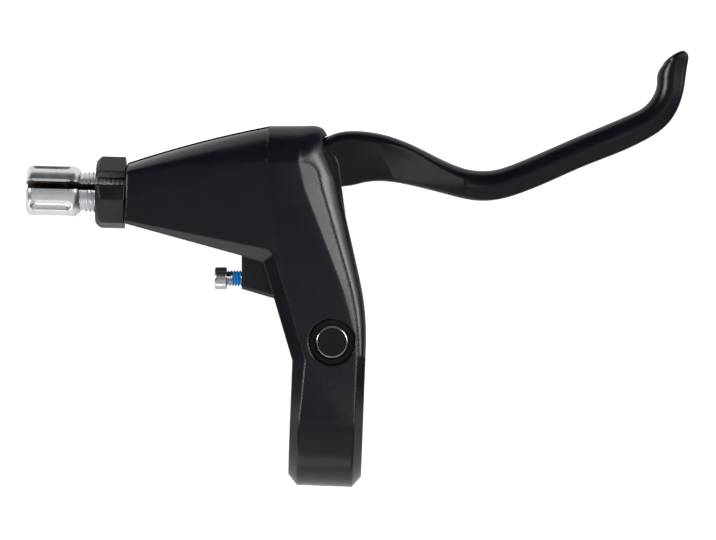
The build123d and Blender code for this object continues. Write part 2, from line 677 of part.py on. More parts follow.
def blade_line():
    """Middle line of the finger blade in plan: hump, shoulder, fall, valley, rise and turned-up tip."""
    start = Vector(BLADE_START_X, BLADE_START_Y)
    hump = JernArc(start, heading_vector(BLADE_START_HEADING), HUMP_RADIUS, -HUMP_TURN)
    shoulder = JernArc(hump @ 1, hump % 1, SHOULDER_RADIUS, -SHOULDER_TURN)
    fall = Line(shoulder @ 1, shoulder @ 1 + (shoulder % 1) * FALL_LENGTH)
    valley = JernArc(fall @ 1, fall % 1, VALLEY_RADIUS, VALLEY_TURN)
    rise = Line(valley @ 1, valley @ 1 + (valley % 1) * RISE_LENGTH)
    tip = JernArc(rise @ 1, rise % 1, TIP_RADIUS, TIP_TURN)
    end = Line(tip @ 1, tip @ 1 + (tip % 1) * TIP_LENGTH)
    return [hump, shoulder, fall, valley, rise, tip, end]


def within(value, start, length):
    """Share of a stretch that a distance has passed, from 0 to 1."""
    return min(max((value - start) / length, 0), 1)


def blade_section(point, heading, distance, tip_share, inset=0):
    """Section of the blade: its front edge is well rounded, and its top falls a little to the rear edge."""
    share = within(distance, BLADE_TAPER_START, BLADE_TAPER_LENGTH)
    thin = within(distance, THINNING_START, THINNING_LENGTH)
    slant = TIP_SLANT if tip_share == 1 else 0
    full_width = mix(mix(BLADE_ROOT_WIDTH, BLADE_WIDTH, share), BLADE_TIP_WIDTH, tip_share)
    width = full_width / cos(radians(slant)) - 2 * inset
    finger_height = mix(ROOT_HALF - BLADE_ROOT_STEP, BLADE_HEIGHT / 2, thin)
    height = mix(finger_height, BLADE_TIP_HEIGHT / 2, tip_share) - inset
    front_round = min(mix(ROOT_FRONT_ROUND, BLADE_FRONT_ROUND, share), FRONT_WIDTH_LIMIT * width)
    rear_round = min(mix(ROOT_REAR_ROUND, BLADE_REAR_ROUND, share), REAR_WIDTH_LIMIT * width)
    front = width / 2 + ROOT_FRONT_LIFT * (1 - within(distance, 0, ROOT_LIFT_LENGTH))
    rear = -width / 2
    rear_top = height - BLADE_REAR_FALL * thin
    front_side = height - min(front_round, FRONT_ROUND_LIMIT * height)
    rear_side = rear_top - rear_round
    crest_front, crest_rear = front - front_round, rear + rear_round
    edges = [
        Line((crest_rear, rear_top), (crest_front, height)),
        rounded((crest_front, height), (front, height), (front, front_side)),
        Line((front, front_side), (front, -front_side)),
        rounded((front, -front_side), (front, -height), (crest_front, -height)),
        Line((crest_front, -height), (crest_rear, -rear_top)),
        rounded((crest_rear, -rear_top), (rear, -rear_top), (rear, -rear_side)),
        Line((rear, -rear_side), (rear, rear_side)),
        rounded((rear, rear_side), (rear, rear_top), (crest_rear, rear_top)),
    ]
    normal = heading.rotate(Axis.Z, slant)
    left = Vector(-normal.Y, normal.X, 0)
    return Plane(origin=point, x_dir=left, z_dir=-normal) * make_face(edges)


def finger_blade():
    """The finger blade, lofted along its middle line, with a rounded cap on its slanted end."""
    stretches = blade_line()
    root_heading = heading_vector(ARM_LEAN_RIGHT)
    root = Vector(BLADE_START_X, BLADE_START_Y) - root_heading * BLADE_START_DEPTH
    sections = [blade_section(root, root_heading, 0, 0)]
    tip_length = stretches[-2].length + stretches[-1].length
    length = sum(stretch.length for stretch in stretches)
    travelled = 0
    for stretch, places in zip(stretches, BLADE_PLACES):
        for place in places:
            distance = travelled + place * stretch.length
            tip_share = within(distance, length - tip_length, tip_length)
            sections.append(blade_section(stretch @ place, stretch % place, distance, tip_share))
        travelled += stretch.length
    end, heading = stretches[-1] @ 1, stretches[-1] % 1
    out = heading.rotate(Axis.Z, TIP_SLANT)
    cap = []
    for share in TIP_ROUND_PLACES:
        turn = radians(90 * share)
        place = end + out * (TIP_ROUND * sin(turn))
        cap.append(blade_section(place, heading, length, 1, TIP_ROUND * (1 - cos(turn))))
    return loft(sections) + loft(cap)


def facet_cuts():
    """The two shallow facets where the thick root falls to the thinner finger blade."""
    ahead = heading_vector(FACET_HEADING)
    tilt = radians(FACET_TILT)
    slope = Vector(ahead.X * cos(tilt), ahead.Y * cos(tilt), -sin(tilt))
    normal = Vector(ahead.X * sin(tilt), ahead.Y * sin(tilt), cos(tilt))
    face = Plane(origin=(FACET_X, FACET_Y, ROOT_HALF - BLADE_ROOT_STEP), x_dir=slope, z_dir=normal)
    upper = face * Pos(FACET_LENGTH / 2, 0, ROOT_HALF / 2) * Box(FACET_LENGTH, 2 * FACET_LENGTH, ROOT_HALF)
    return [upper, mirror(upper, Plane.XY)]


def root_side():
    """Distance from the foot of the reach screw to the left side of the root, along the screw."""
    run = CABLE_SEAT - PIVOT
    lean = (EYE_RADIUS - HEAD_RADIUS) / run.length
    ahead = run.normalized()
    out = ahead * lean + Vector(-ahead.Y, ahead.X) * sqrt(1 - lean**2)
    return (EYE_RADIUS - out.dot(REACH_FOOT - PIVOT)) / out.dot(-REACH_ALONG)


STOP_FACE = root_side() - STOP_PAD_DEPTH


def root_cuts():
    """The fork for the spring, the eyes for the bushes, and the seat and slot of the cable end."""
    fork = upright(PIVOT_X, PIVOT_Y, EYE_RADIUS + FORK_CLEARANCE, -FORK_GAP / 2, FORK_GAP / 2)
    eye = upright(PIVOT_X, PIVOT_Y, BUSH_RADIUS + PRESS_GAP, -BIG, BIG)
    spot = BUSH_FLANGE_DIAMETER / 2 + SEAT_CLEARANCE
    upper = upright(PIVOT_X, PIVOT_Y, spot, EYE_HALF, BIG)
    lower = upright(PIVOT_X, PIVOT_Y, spot, -BIG, -EYE_HALF)
    seat = upright(CABLE_SEAT.X, CABLE_SEAT.Y, SEAT_RADIUS, -BIG, ROOT_HALF - CABLE_END_ROOF)
    side = FORWARD * (WIRE_SLOT / 2)
    out = CABLE_SEAT - ALONG * (2 * HEAD_RADIUS)
    outline = Polyline(CABLE_SEAT + side, out + side, out - side, CABLE_SEAT - side, CABLE_SEAT + side)
    wire = plate(outline, -ROOT_HEIGHT, WIRE_SLOT / 2)
    pad = REACH * Pos(0, 0, STOP_FACE + HEAD_RADIUS / 2) * Box(BIG, STOP_PAD_WIDTH, HEAD_RADIUS)
    return [fork, eye, upper, lower, seat, wire, pad]


def lever_blade():
    """The whole forging of the lever."""
    return root_plate() + finger_blade() - root_cuts() - facet_cuts()


# Pieces of the pivot


def pivot_ring(radius, bore, low, high):
    """A ring round the pivot between two heights."""
    return Pos(PIVOT_X, PIVOT_Y, low) * extrude(Circle(radius) - Circle(bore), high - low)


def pivot_axle():
    """The headed pin, with the groove of its clip above the tail."""
    groove = CLIP_GROOVE_DIAMETER / 2
    groove_low = CLIP_SEAT_Z - CLIP_THICKNESS - PRESS_GAP
    head = upright(PIVOT_X, PIVOT_Y, AXLE_HEAD_DIAMETER / 2, HEAD_SEAT_Z, HEAD_SEAT_Z + AXLE_HEAD_HEIGHT)
    head = chamfer(head.edges().group_by(Axis.Z)[-1], AXLE_HEAD_CHAMFER)
    shaft = upright(PIVOT_X, PIVOT_Y, AXLE_DIAMETER / 2, groove_low - AXLE_TAIL, HEAD_SEAT_Z)
    shaft = chamfer(shaft.edges().group_by(Axis.Z)[0], AXLE_HEAD_CHAMFER)
    return head + shaft - pivot_ring(AXLE_DIAMETER, groove, groove_low, CLIP_SEAT_Z + PRESS_GAP)


def pivot_collar():
    """The black ring that fills the counterbore round the head of the axle."""
    bore = AXLE_HEAD_DIAMETER / 2 + SEAT_CLEARANCE
    return pivot_ring(COLLAR_OUTER_DIAMETER / 2, bore, HEAD_SEAT_Z, HEAD_SEAT_Z + COLLAR_HEIGHT)


def pivot_bush():
    """The flanged bush of the upper eye."""
    flange_top = EYE_HALF + BUSH_FLANGE
    sleeve = pivot_ring(BUSH_RADIUS, AXLE_BORE, FORK_GAP / 2, EYE_HALF)
    return sleeve + pivot_ring(BUSH_FLANGE_DIAMETER / 2, AXLE_BORE, EYE_HALF, flange_top)


def pivot_clip():
    """The open clip that sits in the groove of the axle."""
    mouth = Pos(0, -CLIP_DIAMETER / 2) * Rectangle(CLIP_MOUTH, CLIP_DIAMETER)
    outline = Circle(CLIP_DIAMETER / 2) - Circle(CLIP_GROOVE_DIAMETER / 2 + PRESS_GAP) - mouth
    return Pos(PIVOT_X, PIVOT_Y, CLIP_SEAT_Z) * extrude(outline, -CLIP_THICKNESS)


def return_spring():
    """The torsion spring in the fork: a coil round the axle with two straight legs."""
    radius = AXLE_DIAMETER / 2 + SPRING_GAP + SPRING_WIRE / 2
    height = SPRING_TURNS * SPRING_PITCH
    turns = Helix(SPRING_PITCH, height, radius, center=(PIVOT_X, PIVOT_Y, -height / 2))
    start = turns @ 0 - (turns % 0) * SPRING_LEG
    end = turns @ 1 + (turns % 1) * SPRING_LEG
    path = Wire([Line(start, turns @ 0), turns, Line(turns @ 1, end)])
    return sweep(Plane(origin=start, z_dir=turns % 0) * Circle(SPRING_WIRE / 2), path)


# Barrel adjuster


def slot_cutter(width, reach, low, high, turn):
    """A cutter for a slot that lets the cable in from the side, between two places on the axis."""
    block = Pos(reach / 2, 0, (low + high) / 2) * Box(reach, width, high - low)
    return Rot(0, 0, turn) * block


def adjuster_barrel():
    """The turned barrel: thread, neck and fluted head, with the socket of the casing and the slot."""
    inner = -BARREL_BURIED_THREAD
    neck = LOCK_RING_GAP + LOCK_RING_THICKNESS + BARREL_SHOWN_THREAD
    shoulder = neck + BARREL_NECK_LENGTH
    end = shoulder + BARREL_HEAD_LENGTH
    thread = BARREL_THREAD_DIAMETER / 2
    head = BARREL_HEAD_DIAMETER / 2
    bore = CHANNEL_DIAMETER / 2
    socket = HOUSING_DIAMETER / 2 + HOUSING_CLEARANCE
    socket_floor = end - HOUSING_DEPTH
    outline = [
        Polyline(
            (bore, inner),
            (thread - THREAD_CHAMFER, inner),
            (thread, inner + THREAD_CHAMFER),
            (thread, neck),
            (thread - BARREL_RELIEF, neck),
            (head, shoulder),
            (head, end - BARREL_ROUND),
        ),
        rounded((head, end - BARREL_ROUND), (head, end), (head - BARREL_ROUND, end)),
        Polyline((head - BARREL_ROUND, end), (socket, end), (socket, socket_floor)),
        Polyline((socket, socket_floor), (bore, socket_floor), (bore, inner)),
    ]
    barrel = revolve(Plane.XZ * make_face(outline), Axis.Z)
    flute_middle = head - FLUTE_DEPTH + FLUTE_WIDTH / 2
    flute_start, flute_end = shoulder + FLUTE_MARGIN, end - BARREL_ROUND - FLUTE_MARGIN
    flute = Pos(flute_middle, 0, flute_start) * extrude(Circle(FLUTE_WIDTH / 2), flute_end - flute_start)
    flute += [Pos(flute_middle, 0, z) * Sphere(FLUTE_WIDTH / 2) for z in (flute_start, flute_end)]
    turns = [BARREL_SLOT_ANGLE + 360 / FLUTE_COUNT * i for i in range(FLUTE_COUNT)]
    flutes = [Rot(0, 0, turn) * flute for turn in turns]
    slot = slot_cutter(BARREL_SLOT, BARREL_HEAD_DIAMETER, 2 * inner, 2 * end, BARREL_SLOT_ANGLE)
    return ADJUSTER * (barrel - flutes - slot)


def adjuster_lock_ring():
    """The eight-sided lock ring, with its outer corners turned off and a slot for the cable."""
    corner = LOCK_RING_FLATS / 2 / cos(radians(180 / LOCK_RING_SIDES))
    sides = RegularPolygon(LOCK_RING_FLATS / 2, LOCK_RING_SIDES, major_radius=False)
    ring = Rot(0, 0, LOCK_RING_TURN) * extrude(sides - Circle(THREAD_HOLE_RADIUS), LOCK_RING_THICKNESS)
    turned = Polyline(
        (0, 0),
        (corner, 0),
        (corner, LOCK_RING_THICKNESS - LOCK_RING_CHAMFER),
        (corner - LOCK_RING_CHAMFER, LOCK_RING_THICKNESS),
        (0, LOCK_RING_THICKNESS),
        (0, 0),
    )
    ring = ring & revolve(Plane.XZ * make_face(turned), Axis.Z)
    slot = slot_cutter(
        LOCK_RING_SLOT, LOCK_RING_FLATS, -LOCK_RING_THICKNESS, 2 * LOCK_RING_THICKNESS, LOCK_RING_SLOT_ANGLE
    )
    return ADJUSTER * Pos(0, 0, LOCK_RING_GAP) * (ring - slot)


# Screws


def socket_screw(diameter, tip, seat, head_diameter, head_height, key, key_depth):
    """A screw with a round head and a hexagon socket, along its own axis from the tip to the head."""
    end = seat + head_height
    shank = Pos(0, 0, tip) * extrude(Circle(diameter / 2), seat - tip)
    shank = chamfer(shank.edges().group_by(Axis.Z)[0], SCREW_RIM)
    head = Pos(0, 0, seat) * extrude(Circle(head_diameter / 2), head_height)
    head = fillet(head.edges().group_by(Axis.Z)[-1], SCREW_RIM)
    socket = Pos(0, 0, end) * extrude(RegularPolygon(key / 2, KEY_SIDES, major_radius=False), -key_depth)
    return shank + head - socket


def reach_screw():
    """The screw in the boss, with its tip just clear of the stop pad of the blade."""
    screw = socket_screw(
        SCREW_DIAMETER,
        STOP_FACE + SCREW_TIP_GAP,
        BOSS_FACE + SCREW_SHOWN,
        SCREW_HEAD_DIAMETER,
        SCREW_HEAD_HEIGHT,
        SCREW_KEY,
        SCREW_KEY_DEPTH,
    )
    return REACH * screw


def clamp_bolt():
    """The bolt that closes the clamp, with its head in the front ear."""
    bolt = socket_screw(
        CLAMP_BOLT_DIAMETER,
        HEAD_SEAT_Y - CLAMP_BOLT_LENGTH,
        HEAD_SEAT_Y,
        CLAMP_BOLT_HEAD_DIAMETER,
        CLAMP_BOLT_HEAD_HEIGHT,
        CLAMP_BOLT_KEY,
        CLAMP_BOLT_KEY_DEPTH,
    )
    return BOLT_LINE * bolt


def clamp_nut():
    """The square nut that the rear ear keeps from turning."""
    hole = Circle(CLAMP_BOLT_DIAMETER / 2 + RUNNING_CLEARANCE)
    nut = extrude(Rectangle(CLAMP_NUT_WIDTH, CLAMP_NUT_WIDTH) - hole, -CLAMP_NUT_HEIGHT)
    return BOLT_LINE * Pos(0, 0, NUT_SEAT_Y) * nut


PIECES = {
    "bracket_body": bracket_body(),
    "lever_blade": lever_blade(),
    "pivot_axle": pivot_axle(),
    "pivot_collar": pivot_collar(),
    "pivot_bush_upper": pivot_bush(),
    "pivot_bush_lower": mirror(pivot_bush(), Plane.XY),
    "pivot_clip": pivot_clip(),
    "return_spring": return_spring(),
    "adjuster_barrel": adjuster_barrel(),
    "adjuster_lock_ring": adjuster_lock_ring(),
    "reach_screw": reach_screw(),
    "clamp_bolt": clamp_bolt(),
    "clamp_nut": clamp_nut(),
}

os.makedirs("parts", exist_ok=True)
for name, piece in PIECES.items():
    export_step(piece, f"parts/{name}.step")
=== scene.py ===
import json
import logging
from dataclasses import dataclass
from enum import Enum
from math import cos, pi, radians, sin
from typing import Any

import bmesh
import bpy
import numpy as np
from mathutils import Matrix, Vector


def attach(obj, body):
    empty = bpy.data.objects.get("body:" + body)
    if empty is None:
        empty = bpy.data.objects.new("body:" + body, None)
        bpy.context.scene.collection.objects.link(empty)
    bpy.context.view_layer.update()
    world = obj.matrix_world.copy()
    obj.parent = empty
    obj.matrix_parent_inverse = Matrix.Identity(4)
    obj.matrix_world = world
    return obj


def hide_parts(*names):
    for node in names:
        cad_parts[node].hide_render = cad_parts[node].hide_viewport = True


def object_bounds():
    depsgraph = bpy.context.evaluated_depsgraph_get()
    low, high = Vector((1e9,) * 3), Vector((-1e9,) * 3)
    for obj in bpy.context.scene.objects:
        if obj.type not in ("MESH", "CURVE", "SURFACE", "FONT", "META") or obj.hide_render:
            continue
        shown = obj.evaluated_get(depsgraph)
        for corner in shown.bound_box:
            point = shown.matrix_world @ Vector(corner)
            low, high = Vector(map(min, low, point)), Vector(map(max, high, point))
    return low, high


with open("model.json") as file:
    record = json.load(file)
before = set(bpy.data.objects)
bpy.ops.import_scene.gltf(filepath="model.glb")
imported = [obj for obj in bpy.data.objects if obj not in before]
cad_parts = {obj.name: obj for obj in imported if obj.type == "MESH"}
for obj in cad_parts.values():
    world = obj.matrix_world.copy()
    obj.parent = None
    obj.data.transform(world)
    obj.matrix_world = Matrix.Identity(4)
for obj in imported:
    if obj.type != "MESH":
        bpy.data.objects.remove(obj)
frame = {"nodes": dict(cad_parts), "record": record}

# The looks of a right-hand brake lever for a flat handlebar, in the frame of its solids: metres, with
# +X along the bar to its end, +Y forward and +Z up. The sizes of its pieces are in millimetres.

CAD_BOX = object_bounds()
LOG = logging.getLogger("brake_lever")
MM = 0.001

# How far the camera is turned against the bar.
TOE = radians(2.2)

# Corners of a mesh that lie closer than this are one.
WELD = 0.002 * MM

# Triangles of a solid that lie within this many degrees of each other are one face.
FLAT_ANGLE = 0.3

# The flat root of a thread and its flanks, as shares of the height of a full triangle.
THREAD_ROOT = 0.12
THREAD_FLANK = 0.7


class Body(Enum):
    """The moving bodies that a piece can ride on."""

    BRACKET = "bracket"
    BLADE = "blade"
    BARREL = "barrel"
    LOCK_RING = "lock_ring"
    REACH = "reach"


class Measure(Enum):
    """The two ways to place a band on a turned piece."""

    ALONG = "by the distance along its line"
    AWAY = "by the distance from its line"


# Meshes


def add_object(name: str, data: bpy.types.ID) -> bpy.types.Object:
    """Put a mesh, a lamp or a camera into the scene.

    Args:
        name: Name of the object.
        data: The mesh, the lamp or the camera.

    Returns:
        The new object, at the origin.
    """
    made = bpy.data.objects.new(name, data)
    bpy.context.scene.collection.objects.link(made)
    return made


def points_of(mesh: bpy.types.Mesh) -> np.ndarray:
    """Read the corners of a mesh.

    Args:
        mesh: The mesh.

    Returns:
        Points in metres, one row for each corner.
    """
    points = np.empty(3 * len(mesh.vertices), dtype=np.float32)
    mesh.vertices.foreach_get("co", points)
    return points.reshape(-1, 3)


def weld(mesh: bpy.types.Mesh, smooth_angle: float, flat_angle: float = 0.0) -> None:
    """Merge the doubles of a mesh, turn its faces outwards and mark its sharp edges.

    Args:
        mesh: The mesh to weld, changed in place.
        smooth_angle: Edges that turn by more than this many degrees stay sharp.
        flat_angle: Faces within this many degrees of each other become one face; 0 keeps them all.
    """
    shell = bmesh.new()
    shell.from_mesh(mesh)
    bmesh.ops.remove_doubles(shell, verts=shell.verts, dist=WELD)
    bmesh.ops.dissolve_degenerate(shell, edges=shell.edges, dist=WELD)
    if flat_angle:
        limit = radians(flat_angle)
        bmesh.ops.dissolve_limit(shell, angle_limit=limit, verts=shell.verts, edges=shell.edges)
    bmesh.ops.recalc_face_normals(shell, faces=shell.faces)
    shell.to_mesh(mesh)
    shell.free()
    mesh.polygons.foreach_set("use_smooth", np.ones(len(mesh.polygons), dtype=bool))
    mesh.set_sharp_from_angle(angle=radians(smooth_angle))
    mesh.update()


def grid_faces(rows: int, columns: int) -> np.ndarray:
    """Quads of a grid that closes on itself across its columns: (i, j) to its next row and column.

    Args:
        rows: Number of rows of the grid.
        columns: Number of points in each closed row.

    Returns:
        One row of four vertex numbers for each quad.
    """
    row, column = np.meshgrid(np.arange(rows - 1), np.arange(columns), indexing="ij")
    ahead = (column + 1) % columns
    corners = [row * columns + column, row * columns + ahead]
    corners += [(row + 1) * columns + ahead, (row + 1) * columns + column]
    return np.stack(corners, axis=-1).reshape(-1, 4)


def grid_piece(name: str, points: np.ndarray, smooth_angle: float) -> bpy.types.Object:
    """Make a piece from a grid of points whose rows are closed loops.

    Args:
        name: Name of the piece.
        points: Points in metres, shaped rows by columns by 3.
        smooth_angle: Edges that turn by more than this many degrees stay sharp.

    Returns:
        The new object, at the origin.
    """
    rows, columns = points.shape[:2]
    mesh = bpy.data.meshes.new(name)
    mesh.from_pydata(points.reshape(-1, 3), [], grid_faces(rows, columns))
    weld(mesh, smooth_angle)
    return add_object(name, mesh)


def welded_copy(name: str, node: str, smooth_angle: float) -> bpy.types.Object:
    """Make a welded copy of one solid's mesh, whose loose triangles join to whole faces.

    Args:
        name: Name of the piece.
        node: Name of the solid.
        smooth_angle: Edges that turn by more than this many degrees stay sharp.

    Returns:
        The new object, at the origin.
    """
    source = frame["nodes"][node].data
    corners = np.empty(len(source.loops), dtype=np.int32)
    source.loops.foreach_get("vertex_index", corners)
    mesh = bpy.data.meshes.new(name)
    mesh.from_pydata(points_of(source), [], corners.reshape(-1, 3))
    weld(mesh, smooth_angle, FLAT_ANGLE)
    return add_object(name, mesh)


def soften(piece: bpy.types.Object, width: float, angle: float, segments: int = 2) -> None:
    """Round the edges of a piece with a live bevel.

    Args:
        piece: The piece to soften.
        width: Width of the round in millimetres.
        angle: Edges that turn by more than this many degrees are rounded.
        segments: Faces across each round.
    """
    bevel = piece.modifiers.new("edge_round", "BEVEL")
    bevel.width = width * MM
    bevel.segments = segments
    bevel.limit_method = "ANGLE"
    bevel.angle_limit = radians(angle)
    bevel.use_clamp_overlap = False
    bevel.harden_normals = True


# Lines of the turned pieces


@dataclass(frozen=True)
class Axis:
    """A straight line that a turned piece is built on: its foot and three directions, in metres."""

    foot: tuple[float, float, float]
    side: tuple[float, float, float]
    lift: tuple[float, float, float]
    ahead: tuple[float, float, float]

    def place(self, radius: np.ndarray, angle: np.ndarray, height: np.ndarray) -> np.ndarray:
        """Carry round coordinates to the frame: foot + r cos a side + r sin a lift + h ahead.

        Args:
            radius: Distances from the line, in millimetres.
            angle: Angles round the line, from side to lift.
            height: Distances along the line, in millimetres.

        Returns:
            Points in metres, with one more dimension of 3.
        """
        radius, angle, height = np.broadcast_arrays(radius, angle, height)
        parts = [radius * np.cos(angle), radius * np.sin(angle), height]
        basis = np.array([self.side, self.lift, self.ahead])
        return np.stack(parts, axis=-1) @ basis * MM + np.array(self.foot)


def axis_of(joint: str) -> Axis:
    """The line of one of the model's joints, with up as its first side.

    Args:
        joint: Name of the joint.

    Returns:
        The line; where it is level, its second side is level too and at right angles to it.
    """
    line = next(j for j in frame["record"]["behaviour"]["joints"] if j["name"] == joint)
    x, y, z = line["axis"]
    return Axis(tuple(line["pos_m"]), (0.0, 0.0, 1.0), (y, -x, 0.0), (x, y, z))


def thread_wave(turns: np.ndarray) -> np.ndarray:
    """Height of a thread, from 0 at the root to 1 at the crest: a triangle wave, cut flat at both.

    Args:
        turns: Pitches along the axis less turns round it.

    Returns:
        Heights, as shares of the thread's depth.
    """
    wave = 2 * np.abs(turns - np.floor(turns) - 0.5)
    return np.clip((wave - THREAD_ROOT) / THREAD_FLANK, 0, 1)


# Finishes


def linear(colour: str) -> tuple[float, float, float, float]:
    """Turn an sRGB colour to linear: a short straight part near black, then a power of 2.4.

    Args:
        colour: A hash sign and six hex digits.

    Returns:
        Red, green and blue, and 1 for a full cover.
    """
    values = [int(colour[i : i + 2], 16) / 255 for i in (1, 3, 5)]
    red, green, blue = [v / 12.92 if v <= 0.04045 else ((v + 0.055) / 1.055) ** 2.4 for v in values]
    return red, green, blue, 1.0


def empty_tree(owner: bpy.types.Material | bpy.types.World) -> bpy.types.NodeTree:
    """Give a material or the world a node tree with nothing in it.

    Args:
        owner: The material or the world.

    Returns:
        Its empty tree.
    """
    owner.use_nodes = True
    owner.node_tree.nodes.clear()
    return owner.node_tree


def add_node(tree: bpy.types.NodeTree, kind: str, inputs: dict, **settings: Any) -> bpy.types.Node:
    """Add one node with its settings and links.

    Args:
        tree: The tree of a material or the world.
        kind: Blender's own name for the node.
        inputs: For each input, by name or number, a value or the output that feeds it.
        settings: Properties of the node itself.

    Returns:
        The new node.
    """
    node = tree.nodes.new(kind)
    for name, value in settings.items():
        setattr(node, name, value)
    for socket, value in inputs.items():
        if isinstance(value, bpy.types.NodeSocket):
            tree.links.new(value, node.inputs[socket])
        else:
            node.inputs[socket].default_value = value
    return node


def grain_scale(size: float) -> float:
    """Scale of a noise whose spots are this many millimetres across, on coordinates in metres."""
    return 1 / (size * MM)


@dataclass(frozen=True)
class Finish:
    """What all finishes share: a colour that clouds a little, an uneven gloss and a fine grain.

    The colour runs between two tones in soft clouds. The roughness follows the same clouds. The grain
    is a fine noise that only lifts the surface. Mould grain, plating and drawn wire are finer than a
    pixel on the real pieces, so they are drawn coarser here, at 0.2 to 0.4 mm, to show at all.
    """

    name: str
    tone: str
    second_tone: str
    roughness: float
    roughness_spread: float
    cloud_size: float
    grain_size: float
    grain_height: float
    metallic: float = 0.0
    ior: float = 1.5
    edge_round: float = 0.15

    def material(self) -> bpy.types.Material:
        """Make the material, or find it where a piece before has it already.

        Returns:
            The material of this finish.
        """
        known = bpy.data.materials.get(self.name)
        if known:
            return known
        made = bpy.data.materials.new(self.name)
        tree = empty_tree(made)
        place = add_node(tree, "ShaderNodeTexCoord", {}).outputs["Object"]
        inputs = self.clouds(tree, place) | {"IOR": self.ior, "Normal": self.relief(tree, place)}
        shader = add_node(tree, "ShaderNodeBsdfPrincipled", inputs)
        add_node(tree, "ShaderNodeOutputMaterial", {"Surface": shader.outputs["BSDF"]})
        return made

    def clouds(self, tree: bpy.types.NodeTree, place: bpy.types.NodeSocket) -> dict:
        """Lay the soft clouds of colour and gloss.

        Args:
            tree: The tree of the material.
            place: The output with the coordinates.

        Returns:
            The shader's inputs for the colour, the roughness and the metal.
        """
        cloud = add_node(
            tree,
            "ShaderNodeTexNoise",
            {"Vector": place, "Scale": grain_scale(self.cloud_size), "Detail": 3.0, "Roughness": 0.55},
        ).outputs["Fac"]
        tones = add_node(
            tree,
            "ShaderNodeMix",
            {"Factor": cloud, "A": linear(self.tone), "B": linear(self.second_tone)},
            data_type="RGBA",
        )
        gloss = add_node(
            tree,
            "ShaderNodeMapRange",
            {
                "Value": cloud,
                "From Min": 0.3,
                "From Max": 0.7,
                "To Min": self.roughness - self.roughness_spread,
                "To Max": self.roughness + self.roughness_spread,
            },
        )
        return {
            "Base Color": tones.outputs["Result"],
            "Roughness": gloss.outputs["Result"],
            "Metallic": self.metallic,
        }

    def relief(self, tree: bpy.types.NodeTree, place: bpy.types.NodeSocket) -> bpy.types.NodeSocket:
        """Lift the surface by its grain, and round its edges as a coat or a tumbled finish does.

        Args:
            tree: The tree of the material.
            place: The output with the coordinates.

        Returns:
            The output with the normal.
        """
        grain = add_node(
            tree,
            "ShaderNodeTexNoise",
            {"Vector": place, "Scale": grain_scale(self.grain_size), "Detail": 2.0, "Roughness": 0.5},
        )
        rounded = add_node(tree, "ShaderNodeBevel", {"Radius": self.edge_round * MM}, samples=8)
        bump = add_node(
            tree,
            "ShaderNodeBump",
            {
                "Height": grain.outputs["Fac"],
                "Strength": 1.0,
                "Distance": self.grain_height * MM,
                "Normal": rounded.outputs["Normal"],
            },
        )
        return bump.outputs["Normal"]


@dataclass(frozen=True)
class BandedFinish(Finish):
    """A turned piece with a band of another tone, placed from the line of one of the joints."""

    joint: str = ""
    measure: Measure = Measure.AWAY
    band_tone: str = "#ffffff"
    band_metallic: float = 1.0
    band_start: float = 0.0
    band_end: float = 1.0
    band_edge: float = 0.1

    def clouds(self, tree: bpy.types.NodeTree, place: bpy.types.NodeSocket) -> dict:
        """Lay the band over the clouds.

        Args:
            tree: The tree of the material.
            place: The output with the coordinates.

        Returns:
            The shader's inputs for the colour, the roughness and the metal.
        """
        inputs = super().clouds(tree, place)
        bare = self.bare_share(tree, self.distance(tree, place))
        tones = {"Factor": bare, "A": linear(self.band_tone), "B": inputs["Base Color"]}
        inputs["Base Color"] = add_node(tree, "ShaderNodeMix", tones, data_type="RGBA").outputs["Result"]
        if self.band_metallic != self.metallic:
            metals = {"Factor": bare, "A": self.band_metallic, "B": self.metallic}
            inputs["Metallic"] = add_node(tree, "ShaderNodeMix", metals).outputs["Result"]
        return inputs

    def distance(self, tree: bpy.types.NodeTree, place: bpy.types.NodeSocket) -> bpy.types.NodeSocket:
        """Measure along the line by the dot product, or away from it by the length of the cross product.

        Args:
            tree: The tree of the material.
            place: The output with the coordinates.

        Returns:
            The output with the distance in metres.
        """
        line = axis_of(self.joint)
        kind = "ShaderNodeVectorMath"
        arm = add_node(tree, kind, {0: place, 1: line.foot}, operation="SUBTRACT").outputs["Vector"]
        if self.measure is Measure.ALONG:
            return add_node(tree, kind, {0: arm, 1: line.ahead}, operation="DOT_PRODUCT").outputs["Value"]
        turned = add_node(tree, kind, {0: arm, 1: line.ahead}, operation="CROSS_PRODUCT").outputs["Vector"]
        return add_node(tree, kind, {0: turned}, operation="LENGTH").outputs["Value"]

    def bare_share(self, tree: bpy.types.NodeTree, distance: bpy.types.NodeSocket) -> bpy.types.NodeSocket:
        """Tell how bare the surface is: 0 in the band, rising to 1 across its soft edges.

        Args:
            tree: The tree of the material.
            distance: The output with the distance in metres.

        Returns:
            The output with the share.
        """
        middle = (self.band_start + self.band_end) / 2 * MM
        half = (self.band_end - self.band_start) / 2 * MM
        off = add_node(tree, "ShaderNodeMath", {0: distance, 1: middle}, operation="SUBTRACT")
        past = add_node(tree, "ShaderNodeMath", {0: off.outputs[0]}, operation="ABSOLUTE")
        edges = {"Value": past.outputs[0], "From Min": half, "From Max": half + self.band_edge * MM}
        return add_node(tree, "ShaderNodeMapRange", edges).outputs["Result"]


# Satin black paint on cast aluminium: a bluish black that shows soft broad highlights, with the faint
# orange peel of a sprayed coat.
BRACKET_PAINT = Finish(
    "satin_paint_on_cast_aluminium",
    "#080912",
    "#0d0e17",
    roughness=0.27,
    roughness_spread=0.03,
    cloud_size=7.0,
    grain_size=0.45,
    grain_height=0.006,
    ior=1.45,
    edge_round=0.8,
)

